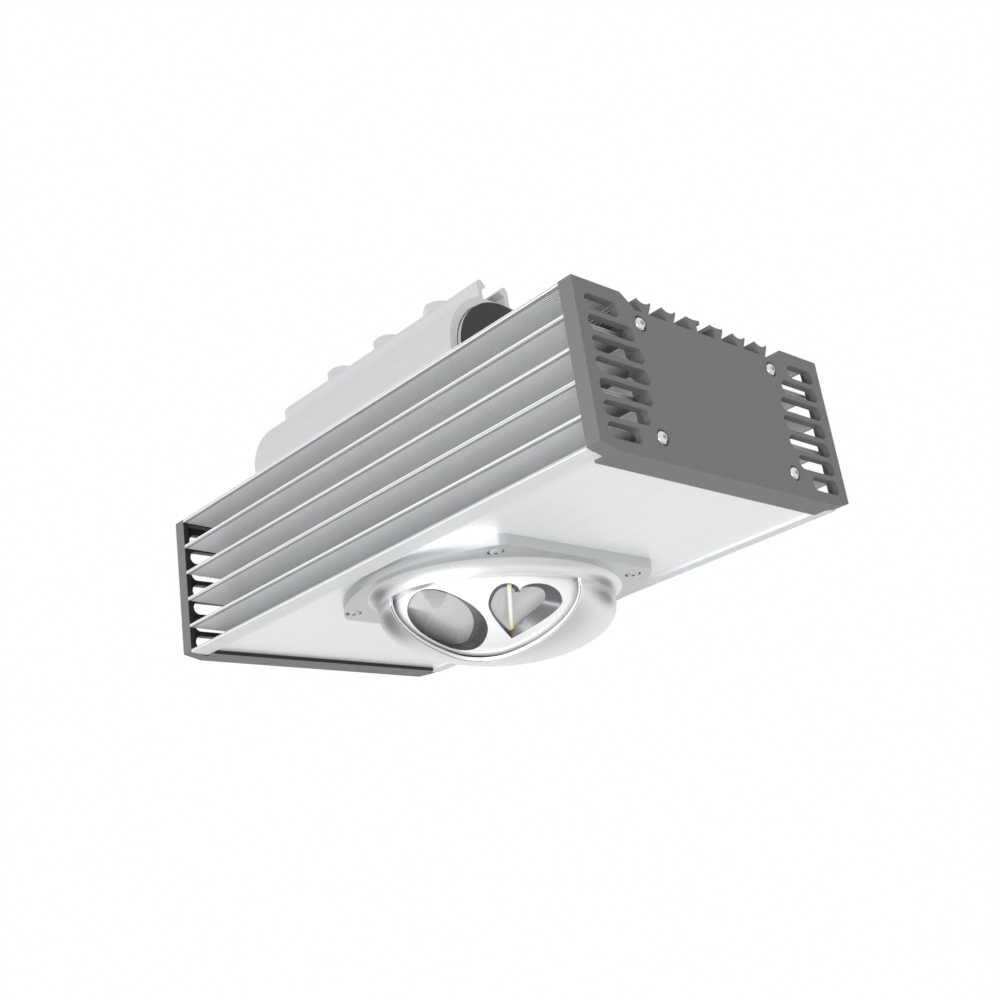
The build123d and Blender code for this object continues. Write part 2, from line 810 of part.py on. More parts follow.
save("heatsink_body", make_body())
save("near_end_cover", near_cover)
save("far_end_cover", far_cover)
save("near_gasket", near_gasket)
save("far_gasket", to_far_end(near_gasket))
save("near_cover_screws", near_screws)
save("far_cover_screws", to_far_end(near_screws))
save("lens_bezel", make_bezel())
save("bezel_screws", bezel_screws())
save("glass_lens", make_lens())
save("lens_gasket", make_lens_gasket())
save("led_board", make_board())
save("led_emitter", make_emitter())
save("thermal_pad", make_pad())
save("board_screws", board_screws())
save("pole_clamp", make_clamp())
save("clamp_bolts", clamp_bolts())
save("clamp_nuts", clamp_nuts())
save("pole_sleeve", make_sleeve())
save("sleeve_plug", make_plug())
save("fixing_screws", fixing_screws())
save("slot_nuts", slot_nuts())
save("led_driver", make_driver())
save("driver_screws", driver_screws())
save("terminal_block", make_terminal())
save("gland_body", make_gland())
save("gland_dome", make_gland_dome())
save("gland_seal", make_gland_seal())
save("gland_lock_nut", make_gland_nut())
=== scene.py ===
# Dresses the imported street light: camera, light, finishes and the pieces that only show.
import bpy
import json
import math
from mathutils import Matrix, Vector


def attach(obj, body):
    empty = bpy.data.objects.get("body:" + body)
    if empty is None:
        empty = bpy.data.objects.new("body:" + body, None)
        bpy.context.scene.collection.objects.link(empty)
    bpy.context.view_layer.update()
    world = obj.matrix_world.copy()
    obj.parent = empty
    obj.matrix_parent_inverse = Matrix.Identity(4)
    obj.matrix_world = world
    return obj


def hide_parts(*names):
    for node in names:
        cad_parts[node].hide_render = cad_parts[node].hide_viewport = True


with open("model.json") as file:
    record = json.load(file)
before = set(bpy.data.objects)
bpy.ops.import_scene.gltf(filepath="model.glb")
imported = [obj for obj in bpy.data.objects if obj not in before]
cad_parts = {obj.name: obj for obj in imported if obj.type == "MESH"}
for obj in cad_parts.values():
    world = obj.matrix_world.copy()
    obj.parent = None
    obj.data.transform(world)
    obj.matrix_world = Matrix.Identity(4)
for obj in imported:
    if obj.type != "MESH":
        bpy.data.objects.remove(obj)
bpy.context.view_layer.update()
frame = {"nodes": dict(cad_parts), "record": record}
nodes = frame["nodes"]
scene = bpy.context.scene
scene.view_settings.view_transform = "Standard"
print("frame loaded", len(nodes), "nodes")

# From the bore's mouth along to the housing's middle, and down to its underside and to the
# rim that the lens's dome starts from.
housing = {"axisToCentre": 0.119, "axisToFoot": 0.0937, "axisToRim": 0.1037}
middle = Vector((housing["axisToCentre"], 0.0, -housing["axisToFoot"]))
rimHeight = -housing["axisToRim"]

cameraSetup = {
    "lens": 50.0,
    "sensor": 36.0,
    "clip": (0.01, 20.0),
    "pictureSize": 1000,
    "place": (0.38358, -0.38848, -0.16303),  # from the housing's middle
    "right": (0.67627, 0.72341, -0.13910),
    "up": (0.34390, -0.14304, 0.92805),
    "forward": (-0.65146, 0.67544, 0.34551),
}


def addCamera(setup):
    data = bpy.data.cameras.new("shotCamera")
    data.lens = setup["lens"]
    data.sensor_width = setup["sensor"]
    data.sensor_fit = "HORIZONTAL"
    data.clip_start, data.clip_end = setup["clip"]
    camera = bpy.data.objects.new("shotCamera", data)
    scene.collection.objects.link(camera)
    right, up, forward = (Vector(setup[key]) for key in ("right", "up", "forward"))
    turn = Matrix((right, up, -forward)).transposed()
    camera.matrix_world = Matrix.Translation(middle + Vector(setup["place"])) @ turn.to_4x4()
    scene.camera = camera


addCamera(cameraSetup)
print("camera placed")


def newMaterial(name):
    material = bpy.data.materials.new(name)
    material.use_nodes = True
    shader = material.node_tree.nodes["Principled BSDF"]
    return material, material.node_tree, shader


def addNode(tree, kind, **values):
    node = tree.nodes.new(kind)
    for key, value in values.items():
        if hasattr(node, key):
            setattr(node, key, value)
        else:
            node.inputs[key].default_value = value
    return node


def mathNode(tree, operation, first, second=None, third=None):
    node = tree.nodes.new("ShaderNodeMath")
    node.operation = operation
    for slot, value in enumerate((first, second, third)):
        if value is None:
            continue
        if isinstance(value, (int, float)):
            node.inputs[slot].default_value = value
        else:
            tree.links.new(value, node.inputs[slot])
    return node.outputs[0]


def product(tree, *factors):
    result = factors[0]
    for factor in factors[1:]:
        result = mathNode(tree, "MULTIPLY", result, factor)
    return result


def spread(tree, source, low, high, start=0.0, end=1.0):
    # Maps start..end to low..high.
    node = tree.nodes.new("ShaderNodeMapRange")
    tree.links.new(source, node.inputs["Value"])
    limits = {"From Min": start, "From Max": end, "To Min": low, "To Max": high}
    for label, value in limits.items():
        node.inputs[label].default_value = value
    return node.outputs["Result"]


def splitPlace(tree):
    # X, Y and Z in the object's own frame.
    place = tree.nodes.new("ShaderNodeTexCoord")
    split = tree.nodes.new("ShaderNodeSeparateXYZ")
    tree.links.new(place.outputs["Object"], split.inputs[0])
    return split.outputs


def splitNormal(tree):
    # X, Y and Z of the face's own normal.
    surface = tree.nodes.new("ShaderNodeNewGeometry")
    split = tree.nodes.new("ShaderNodeSeparateXYZ")
    tree.links.new(surface.outputs["True Normal"], split.inputs[0])
    return split.outputs


def startGroup(name, outputs):
    group = bpy.data.node_groups.new(name, "ShaderNodeTree")
    for label in outputs:
        group.interface.new_socket(label, in_out="OUTPUT", socket_type="NodeSocketFloat")
    groupOut = group.nodes.new("NodeGroupOutput")
    return group, groupOut


def useGroup(tree, group):
    node = tree.nodes.new("ShaderNodeGroup")
    node.node_tree = group
    return node


drawnLook = {"along": 4.0, "across": 2600.0, "detail": 3.0, "roughness": 0.6}


def makeDrawnLines(name, look):
    # Long faint lines along X, as a die or a brush leaves them.
    group, groupOut = startGroup(name, ("Lines",))
    place = group.nodes.new("ShaderNodeTexCoord")
    stretch = group.nodes.new("ShaderNodeMapping")
    stretch.inputs["Scale"].default_value = (look["along"], look["across"], look["across"])
    group.links.new(place.outputs["Object"], stretch.inputs["Vector"])
    noise = addNode(group, "ShaderNodeTexNoise", Scale=1.0, Detail=look["detail"],
                    Roughness=look["roughness"])
    group.links.new(stretch.outputs["Vector"], noise.inputs["Vector"])
    group.links.new(noise.outputs["Fac"], groupOut.inputs["Lines"])
    return group


ribLook = {
    "pitch": 0.00105,
    "coreHalfWidth": 0.0378, "stripHalfWidth": 0.0632, "baseHeight": 0.0075,
    "levelFrom": 0.6,  # a normal this far up or down counts as a level face
    "deepFrom": 0.0125, "deepTo": 0.003,  # out from the core's side
    # Where the painted shade line beside each fin's tip lies, and its half width.
    "tipShadeLine": 0.0699, "tipShadeLineHalf": 0.0007,
}


def makeRibs(name, look):
    # Fine ribs along X on the fins' flanks and the strips, how deep between the fins a place
    # lies, for painted shade there, and a painted shade line beside each fin's tip.
    group, groupOut = startGroup(name, ("Ribs", "Mask", "DeepShade", "TipShade"))
    place = splitPlace(group)
    normal = splitNormal(group)
    steep = mathNode(group, "ABSOLUTE", normal["Z"])
    levelFace = mathNode(group, "GREATER_THAN", steep, look["levelFrom"])
    turns = 2 * math.pi / look["pitch"]
    acrossWave = mathNode(group, "COSINE", product(group, place["Y"], turns))
    upWave = mathNode(group, "COSINE", product(group, place["Z"], turns))
    blend = group.nodes.new("ShaderNodeMix")
    blend.data_type = "FLOAT"
    group.links.new(levelFace, blend.inputs["Factor"])
    group.links.new(upWave, blend.inputs["A"])
    group.links.new(acrossWave, blend.inputs["B"])
    away = mathNode(group, "ABSOLUTE", place["Y"])
    baseHeight = look["baseHeight"] - housing["axisToFoot"]
    finPart = product(group, mathNode(group, "GREATER_THAN", away, look["coreHalfWidth"]),
                      mathNode(group, "GREATER_THAN", place["Z"], baseHeight))
    stripPart = mathNode(group, "GREATER_THAN", away, look["stripHalfWidth"])
    mask = mathNode(group, "MAXIMUM", finPart, stripPart)
    # Painted shade: the colour darkens deep between the fins, towards the core's side.
    depth = spread(group, away, 0.0, 1.0, look["coreHalfWidth"] + look["deepFrom"],
                   look["coreHalfWidth"] + look["deepTo"])
    # Painted shade: a dark line beside each fin's tip, on the level faces.
    tipShadeLine = mathNode(group, "COMPARE", away, look["tipShadeLine"], look["tipShadeLineHalf"])
    results = {
        "Ribs": product(group, blend.outputs["Result"], mask),
        "Mask": mask,
        "DeepShade": product(group, depth, finPart),
        "TipShade": product(group, tipShadeLine, levelFace, finPart),
    }
    for label, result in results.items():
        group.links.new(result, groupOut.inputs[label])
    return group


ringLook = {"pitch": 0.0003, "wobble": 0.2, "detail": 4.0, "roughness": 0.65}


def makeRings(name, look):
    # Fine turned rings round the lens's upright axis.
    group, groupOut = startGroup(name, ("Rings",))
    place = splitPlace(group)
    offX = mathNode(group, "SUBTRACT", place["X"], middle.x)
    offY = mathNode(group, "SUBTRACT", place["Y"], middle.y)
    squares = mathNode(group, "ADD", product(group, offX, offX), product(group, offY, offY))
    lift = mathNode(group, "SUBTRACT", mathNode(group, "SQRT", squares), place["Z"])
    angle = mathNode(group, "ARCTAN2", offY, offX)
    join = group.nodes.new("ShaderNodeCombineXYZ")
    group.links.new(mathNode(group, "DIVIDE", lift, look["pitch"]), join.inputs["X"])
    group.links.new(product(group, angle, look["wobble"]), join.inputs["Y"])
    noise = addNode(group, "ShaderNodeTexNoise", Scale=1.0, Detail=look["detail"],
                    Roughness=look["roughness"])
    group.links.new(join.outputs[0], noise.inputs["Vector"])
    group.links.new(noise.outputs["Fac"], groupOut.inputs["Rings"])
    return group


sidesLook = {"turnedIn": 0.5}  # how far towards the middle an inside face's normal points


def makeSides(name, look):
    # Faces that look towards the housing's middle, as the covers' insides do, for painted shade.
    group, groupOut = startGroup(name, ("Inside",))
    place = splitPlace(group)
    normal = splitNormal(group)
    side = mathNode(group, "SIGN", mathNode(group, "SUBTRACT", place["X"], middle.x))
    inward = product(group, side, normal["X"])
    inside = mathNode(group, "LESS_THAN", inward, -look["turnedIn"])
    group.links.new(inside, groupOut.inputs["Inside"])
    return group


cutLook = {
    "halfAxes": {"X": 0.0409, "Y": 0.0545, "Z": 0.0198},  # the shield's outside
    "upright": 0.012,  # how far an upright face's normal may tip
    "rimDrop": 0.0008,
    "lineAt": 0.985, "lineHalf": 0.007,  # the dark line, as a share of the half axes
    "plateRise": 0.0072,
}


def makeCutEdge(name, look):
    # The upright faces of the shield's cut, the dark line along them, and the bezel's plate, which
    # gets painted shade.
    group, groupOut = startGroup(name, ("Cut", "Line", "Plate"))
    place = splitPlace(group)
    normal = splitNormal(group)
    steep = mathNode(group, "ABSOLUTE", normal["Z"])
    upright = mathNode(group, "LESS_THAN", steep, look["upright"])
    low = mathNode(group, "LESS_THAN", place["Z"], rimHeight - look["rimDrop"])
    cut = product(group, upright, low)
    centres = {"X": middle.x, "Y": middle.y, "Z": rimHeight}
    squares = []
    for axis, half in look["halfAxes"].items():
        share = mathNode(group, "DIVIDE",
                         mathNode(group, "SUBTRACT", place[axis], centres[axis]), half)
        squares.append(product(group, share, share))
    total = mathNode(group, "ADD", mathNode(group, "ADD", squares[0], squares[1]), squares[2])
    reach = mathNode(group, "SQRT", total)
    line = mathNode(group, "COMPARE", reach, look["lineAt"], look["lineHalf"])
    plate = mathNode(group, "GREATER_THAN", place["Z"], rimHeight + look["plateRise"])
    results = {"Plate": plate, "Cut": cut, "Line": product(group, line, cut)}
    for label, result in results.items():
        group.links.new(result, groupOut.inputs[label])
    return group


grainLook = {"fine": 0.0009, "soft": 0.006, "detail": 3.0, "roughness": 0.55}


def makeGrain(name, size, look):
    # An even grain, for paint, plastic and cast skins.
    group, groupOut = startGroup(name, ("Grain",))
    place = group.nodes.new("ShaderNodeTexCoord")
    noise = addNode(group, "ShaderNodeTexNoise", Scale=1.0 / size, Detail=look["detail"],
                    Roughness=look["roughness"])
    group.links.new(place.outputs["Object"], noise.inputs["Vector"])
    group.links.new(noise.outputs["Fac"], groupOut.inputs["Grain"])
    return group


drawnLines = makeDrawnLines("drawn lines", drawnLook)
finRibs = makeRibs("fin ribs", ribLook)
turnedRings = makeRings("turned rings", ringLook)
coverSides = makeSides("cover sides", sidesLook)
shieldCut = makeCutEdge("shield cut", cutLook)
fineGrain = makeGrain("fine grain", grainLook["fine"], grainLook)
softGrain = makeGrain("soft grain", grainLook["soft"], grainLook)
print("shared effects made")


def addBump(tree, shader, height, strength, distance):
    bump = addNode(tree, "ShaderNodeBump", Strength=strength, Distance=distance)
    tree.links.new(height, bump.inputs["Height"])
    tree.links.new(bump.outputs["Normal"], shader.inputs["Normal"])


tintStops = (0.3, 0.7)  # the pattern's values at which a tint is darkest and lightest


def tint(tree, shader, source, dark, light):
    # A colour between dark and light, on the shader and as a result.
    ramp = tree.nodes.new("ShaderNodeValToRGB")
    for stop, spot, colour in zip(ramp.color_ramp.elements, tintStops, (dark, light)):
        stop.position = spot
        stop.color = (*colour, 1.0)
    tree.links.new(source, ramp.inputs["Fac"])
    tree.links.new(ramp.outputs["Color"], shader.inputs["Base Color"])
    return ramp.outputs["Color"]


def scaleColour(tree, colour, factor):
    shade = tree.nodes.new("ShaderNodeVectorMath")
    shade.operation = "SCALE"
    tree.links.new(colour, shade.inputs[0])
    tree.links.new(factor, shade.inputs["Scale"])
    return shade.outputs["Vector"]


def mixColour(tree, factor, colour, other):
    # A linked colour, turned into a fixed one where the factor is 1.
    blend = tree.nodes.new("ShaderNodeMix")
    blend.data_type = "RGBA"
    tree.links.new(factor, blend.inputs[0])
    tree.links.new(colour, blend.inputs[6])
    blend.inputs[7].default_value = (*other, 1.0)
    return blend.outputs[2]


bodyLook = {
    "dark": (0.67, 0.682, 0.69), "light": (0.76, 0.77, 0.778),
    "metal": (0.4, 0.08),  # away from the ribs, and on them
    # The three shares after ridge are painted shade: how much colour is left in the rib hollows,
    # deep between the fins and beside each fin's tip.
    "ridge": 1.25, "grooveShade": 0.78, "deep": 0.12, "tip": 0.5,  # how much of the colour is left
    "gloss": (0.32, 0.44), "lineHeight": 0.15, "bump": 0.8, "ribHeight": 0.0002,
}


def makeBodyMetal(look):
    material, tree, shader = newMaterial("satin extrusion")
    lines = useGroup(tree, drawnLines).outputs["Lines"]
    ribs = useGroup(tree, finRibs).outputs
    tree.links.new(spread(tree, ribs["Mask"], *look["metal"]), shader.inputs["Metallic"])
    base = tint(tree, shader, lines, look["dark"], look["light"])
    # Painted shade: the colour darkens in the ribs' hollows, deep between the fins and beside each
    # fin's tip; ridge lifts it everywhere else.
    shade = product(tree, spread(tree, ribs["Ribs"], look["ridge"], look["grooveShade"]),
                    spread(tree, ribs["DeepShade"], 1.0, look["deep"]),
                    spread(tree, ribs["TipShade"], 1.0, look["tip"]))
    tree.links.new(scaleColour(tree, base, shade), shader.inputs["Base Color"])
    tree.links.new(spread(tree, lines, *look["gloss"]), shader.inputs["Roughness"])
    height = mathNode(tree, "SUBTRACT", product(tree, lines, look["lineHeight"]), ribs["Ribs"])
    addBump(tree, shader, height, look["bump"], look["ribHeight"])
    return material


# inside is painted shade: how much colour the covers' inward faces keep.
coverLook = {
    "dark": (0.165, 0.165, 0.17), "light": (0.19, 0.19, 0.195), "inside": 0.1,
    "gloss": (0.5, 0.62), "specular": 0.35, "bump": 0.25, "depth": 0.00008,
}


def makeCoverPaint(look):
    material, tree, shader = newMaterial("grey cover paint")
    grain = useGroup(tree, fineGrain).outputs["Grain"]
    base = tint(tree, shader, grain, look["dark"], look["light"])
    # Painted shade: the covers' inward faces go near black, for the shadow in the gap at the
    # cover's lip.
    inside = spread(tree, useGroup(tree, coverSides).outputs["Inside"], 1.0, look["inside"])
    tree.links.new(scaleColour(tree, base, inside), shader.inputs["Base Color"])
    tree.links.new(spread(tree, grain, *look["gloss"]), shader.inputs["Roughness"])
    shader.inputs["Specular IOR Level"].default_value = look["specular"]
    addBump(tree, shader, grain, look["bump"], look["depth"])
    return material


# plate is painted shade: how much colour the bezel's flat plate keeps.
bezelLook = {
    "dark": (0.76, 0.77, 0.78), "light": (0.82, 0.83, 0.84), "plate": 0.74,
    "cut": (0.93, 0.935, 0.94), "line": (0.2, 0.2, 0.21),
    "metal": (0.9, 0.1),  # the turned faces, and the cut
    "gloss": (0.26, 0.42), "bump": 0.18, "depth": 0.00008,
}


def makeTurnedMetal(look):
    material, tree, shader = newMaterial("turned bezel metal")
    rings = useGroup(tree, turnedRings).outputs["Rings"]
    cut = useGroup(tree, shieldCut).outputs
    bright = tint(tree, shader, rings, look["dark"], look["light"])
    # Painted shade: the flat plate is darker than the turned dome.
    base = scaleColour(tree, bright, spread(tree, cut["Plate"], 1.0, look["plate"]))
    base = mixColour(tree, cut["Cut"], base, look["cut"])
    base = mixColour(tree, cut["Line"], base, look["line"])
    tree.links.new(base, shader.inputs["Base Color"])
    tree.links.new(spread(tree, cut["Cut"], *look["metal"]), shader.inputs["Metallic"])
    tree.links.new(spread(tree, rings, *look["gloss"]), shader.inputs["Roughness"])
    addBump(tree, shader, rings, look["bump"], look["depth"])
    return material


def makePlain(look):
    # A finish of one tint and one gloss, both led by the same group's pattern.
    material, tree, shader = newMaterial(look["name"])
    shader.inputs["Metallic"].default_value = look["metal"]
    pattern = useGroup(tree, look["pattern"]).outputs[0]
    tint(tree, shader, pattern, look["dark"], look["light"])
    tree.links.new(spread(tree, pattern, *look["gloss"]), shader.inputs["Roughness"])
    addBump(tree, shader, pattern, look["bump"], look["depth"])
    return material


glassLook = {"bend": 1.47, "gloss": (0.0, 0.015), "bump": 0.03, "depth": 0.0001}


def makeGlass(look):
    material, tree, shader = newMaterial("clear lens glass")
    shader.inputs["Base Color"].default_value = (1.0, 1.0, 1.0, 1.0)
    shader.inputs["Transmission Weight"].default_value = 1.0
    shader.inputs["IOR"].default_value = look["bend"]
    grain = useGroup(tree, softGrain).outputs["Grain"]
    tree.links.new(spread(tree, grain, *look["gloss"]), shader.inputs["Roughness"])
    addBump(tree, shader, grain, look["bump"], look["depth"])
    return material


lensLook = {
    "dark": (0.93, 0.935, 0.94), "light": (0.96, 0.96, 0.96), "bend": 1.47,
    "gloss": (0.04, 0.09), "coat": 0.6, "coatGloss": 0.03, "bump": 0.05, "depth": 0.0001,
}


def makeLensGloss(look):
    # The lens's outside, painted the opaque white that moulded glass shows against a white room:
    # painted light.
    material, tree, shader = newMaterial("bright lens glass")
    grain = useGroup(tree, softGrain).outputs["Grain"]
    tint(tree, shader, grain, look["dark"], look["light"])
    tree.links.new(spread(tree, grain, *look["gloss"]), shader.inputs["Roughness"])
    shader.inputs["IOR"].default_value = look["bend"]
    shader.inputs["Coat Weight"].default_value = look["coat"]
    shader.inputs["Coat Roughness"].default_value = look["coatGloss"]
    addBump(tree, shader, grain, look["bump"], look["depth"])
    return material


glowLook = {
    "heights": (-0.1176, -0.1046), "foot": (0.72, 0.66, 0.16), "top": (0.78, 0.74, 0.30),
    "white": (0.82, 0.82, 0.79), "whiteFromTo": (0.24, 0.76), "gloss": (0.25, 0.4),
}


def makeLightLineGlow(look):
    # Painted light: white in the middle, yellow towards both ends, as the light source's drawn-out
    # image shows.
    material, tree, shader = newMaterial("drawn light line")
    along = spread(tree, splitPlace(tree)["Z"], 0.0, 1.0, *look["heights"])
    ramp = tree.nodes.new("ShaderNodeValToRGB")
    ramp.color_ramp.elements[0].color = (*look["foot"], 1.0)
    ramp.color_ramp.elements[1].color = (*look["top"], 1.0)
    for spot in look["whiteFromTo"]:
        ramp.color_ramp.elements.new(spot).color = (*look["white"], 1.0)
    tree.links.new(along, ramp.inputs["Fac"])
    tree.links.new(ramp.outputs["Color"], shader.inputs["Base Color"])
    grain = useGroup(tree, fineGrain).outputs["Grain"]
    tree.links.new(spread(tree, grain, *look["gloss"]), shader.inputs["Roughness"])
    return material


plainLooks = {
    "pocketFloor": {
        "name": "ringed pocket floor", "pattern": turnedRings, "metal": 0.55,
        "dark": (0.66, 0.665, 0.67), "light": (0.84, 0.845, 0.85), "gloss": (0.22, 0.4),
        "bump": 0.5, "depth": 0.0001,
    },
    # pocketWall is painted shade: near-black walls for the dark outline round each pocket.
    "pocketWall": {
        "name": "dark pocket wall", "pattern": turnedRings, "metal": 0.5,
        "dark": (0.10, 0.105, 0.11), "light": (0.19, 0.195, 0.2), "gloss": (0.2, 0.35),
        "bump": 0.3, "depth": 0.0001,
    },
    "clamp_metal": {
        "name": "satin clamp metal", "pattern": drawnLines, "metal": 0.5,
        "dark": (0.60, 0.61, 0.62), "light": (0.67, 0.68, 0.69), "gloss": (0.42, 0.56),
        "bump": 0.2, "depth": 0.0001,
    },
    "sleeve_metal": {
        "name": "sleeve metal", "pattern": drawnLines, "metal": 0.9,
        "dark": (0.72, 0.72, 0.72), "light": (0.82, 0.82, 0.82), "gloss": (0.2, 0.3),
        "bump": 0.2, "depth": 0.0001,
    },
    "driver_case": {
        "name": "driver case metal", "pattern": drawnLines, "metal": 0.9,
        "dark": (0.60, 0.61, 0.62), "light": (0.68, 0.69, 0.70), "gloss": (0.35, 0.5),
        "bump": 0.2, "depth": 0.0001,
    },
    "screw_steel": {
        "name": "bright screw steel", "pattern": fineGrain, "metal": 1.0,
        "dark": (0.66, 0.66, 0.67), "light": (0.74, 0.74, 0.75), "gloss": (0.15, 0.28),
        "bump": 0.12, "depth": 0.00005,
    },
    "bolt_steel": {
        "name": "zinc bolt steel", "pattern": fineGrain, "metal": 1.0,
        "dark": (0.60, 0.595, 0.575), "light": (0.68, 0.675, 0.655), "gloss": (0.19, 0.32),
        "bump": 0.12, "depth": 0.00005,
    },
    "plug_plastic": {
        "name": "black plug plastic", "pattern": fineGrain, "metal": 0.0,
        "dark": (0.007, 0.007, 0.008), "light": (0.013, 0.013, 0.014), "gloss": (0.45, 0.57),
        "bump": 0.2, "depth": 0.00006,
    },
    "gland_plastic": {
        "name": "black gland plastic", "pattern": fineGrain, "metal": 0.0,
        "dark": (0.02, 0.02, 0.021), "light": (0.035, 0.035, 0.036), "gloss": (0.37, 0.49),
        "bump": 0.2, "depth": 0.00006,
    },
    "gasket_rubber": {
        "name": "black seal rubber", "pattern": softGrain, "metal": 0.0,
        "dark": (0.02, 0.02, 0.02), "light": (0.03, 0.03, 0.03), "gloss": (0.65, 0.77),
        "bump": 0.2, "depth": 0.0001,
    },
    "pad_rubber": {
        "name": "grey pad rubber", "pattern": softGrain, "metal": 0.0,
        "dark": (0.42, 0.44, 0.47), "light": (0.5, 0.52, 0.55), "gloss": (0.7, 0.82),
        "bump": 0.2, "depth": 0.0001,
    },
    "board_face": {
        "name": "white board face", "pattern": fineGrain, "metal": 0.0,
        "dark": (0.80, 0.80, 0.78), "light": (0.88, 0.88, 0.86), "gloss": (0.35, 0.47),
        "bump": 0.2, "depth": 0.00003,
    },
    "phosphor": {
        "name": "yellow phosphor", "pattern": fineGrain, "metal": 0.0,
        "dark": (0.80, 0.62, 0.08), "light": (0.92, 0.76, 0.16), "gloss": (0.45, 0.57),
        "bump": 0.2, "depth": 0.00004,
    },
    "terminal_plastic": {
        "name": "white terminal plastic", "pattern": softGrain, "metal": 0.0,
        "dark": (0.78, 0.78, 0.76), "light": (0.84, 0.84, 0.82), "gloss": (0.25, 0.37),
        "bump": 0.2, "depth": 0.0001,
    },
}

finishes = {slot: makePlain(look) for slot, look in plainLooks.items()}
finishes["body_metal"] = makeBodyMetal(bodyLook)
finishes["cover_paint"] = makeCoverPaint(coverLook)
finishes["bezel_metal"] = makeTurnedMetal(bezelLook)
finishes["lens_glass"] = makeGlass(glassLook)
lensGloss = makeLensGloss(lensLook)
lightLineGlow = makeLightLineGlow(glowLook)
pocketWall = finishes["pocketWall"]
pocketFloor = finishes["pocketFloor"]
for part in frame["record"]["subparts"]:
    for place in nodes[part["node"]].material_slots:
        place.material = finishes[part["material_slot"]]


lensCore = {
    "halfAcross": 0.0373, "halfLong": 0.0497, "drop": 0.0169,  # the dome's half axes and depth
    "wallRise": 0.0064, "flangeGrow": 1.046, "flangeRise": 0.0038,
    "segments": 96, "rings": 48, "smoothAngle": 32,
    "cutAt": -1e-6, "slack": 1e-5,  # the sphere is cut a hair under its middle
    "outside": 0.022,  # how far out of the glass the cutters start
    "least": 0.0012,  # how deep a pocket is at least
}
# Both pockets are drawn in the picture's pixels. The sink is the way a pocket goes into the
# glass, and three points of the floor's rim say how deep it lies there.
eyePocket = {
    "name": "eyePocket", "points": 64, "draft": 0.94, "sink": (-0.8218, 0.3021, 0.4831),
    "centre": (447.5, 619.5), "halves": (42.5, 25.0), "tilt": 27.0, "fullness": 0.86,
    "floorRim": ((411, 612, 0.0043), (444, 603, 0.0068), (480, 630, 0.0123)),
}
heartPocket = {
    "name": "heartPocket", "points": 120, "draft": 0.8, "sink": (-0.838, -0.128, 0.530),
    "notch": (519.8, 591.5), "point": (511.8, 638.5), "leftReach": 27.5, "rightReach": 46.5,
    "lobeRise": 8.8, "lobeWidth": 1.5, "bulge": 2.0, "sag": 2.2,
    "floorRim": ((493, 600, 0.0018), (541, 584, 0.0016), (563, 600, 0.0050)),
}


def lensPoint(across, down):
    # The place on the lens's dome that shows at this point of the picture.
    size = cameraSetup["pictureSize"]
    reach = cameraSetup["lens"] / cameraSetup["sensor"] * size
    right, up, forward = (Vector(cameraSetup[key]) for key in ("right", "up", "forward"))
    ray = forward + right * ((across - size / 2) / reach) + up * ((size / 2 - down) / reach)
    eye = middle + Vector(cameraSetup["place"])
    start = eye - Vector((middle.x, middle.y, rimHeight))
    halves = (lensCore["halfAcross"], lensCore["halfLong"], lensCore["drop"])
    begin, along = ([value / half for value, half in zip(line, halves)] for line in (start, ray))
    first = sum(value * value for value in along)
    second = sum(a * b for a, b in zip(begin, along))
    third = sum(value * value for value in begin) - 1
    root = max(second * second - first * third, 0.0)
    return eye + ray * ((-second - math.sqrt(root)) / first)


def eyeOutline(across, up, pocket):
    # An oval, leaning to the right.
    turn = math.radians(pocket["tilt"])
    wide, high = (half * math.copysign(abs(value) ** pocket["fullness"], value)
                  for half, value in zip(pocket["halves"], (across, up)))
    x = wide * math.cos(turn) - high * math.sin(turn)
    y = wide * math.sin(turn) + high * math.cos(turn)
    return pocket["centre"][0] + x, pocket["centre"][1] + y


def heartOutline(across, up, pocket):
    # A heart with a narrow left lobe and a wide right one.
    notch, point = pocket["notch"], pocket["point"]
    if abs(across) + abs(up) < 0.5:  # the circle's middle
        return (notch[0] + point[0]) / 2, (notch[1] + point[1]) / 2
    turn = math.atan2(across, up)
    side = abs(math.sin(turn)) ** pocket["bulge"] * math.copysign(1, across)
    share = (1 - math.cos(turn)) / 2  # 0 at the notch and 1 at the point
    lobe = pocket["lobeRise"] * math.sin(min(abs(turn) / pocket["lobeWidth"], 1.0) * math.pi)
    x = notch[0] + (point[0] - notch[0]) * share
    y = notch[1] + (point[1] - notch[1]) * share ** pocket["sag"] - lobe
    return x + side * (pocket["rightReach"] if side > 0 else pocket["leftReach"]), y


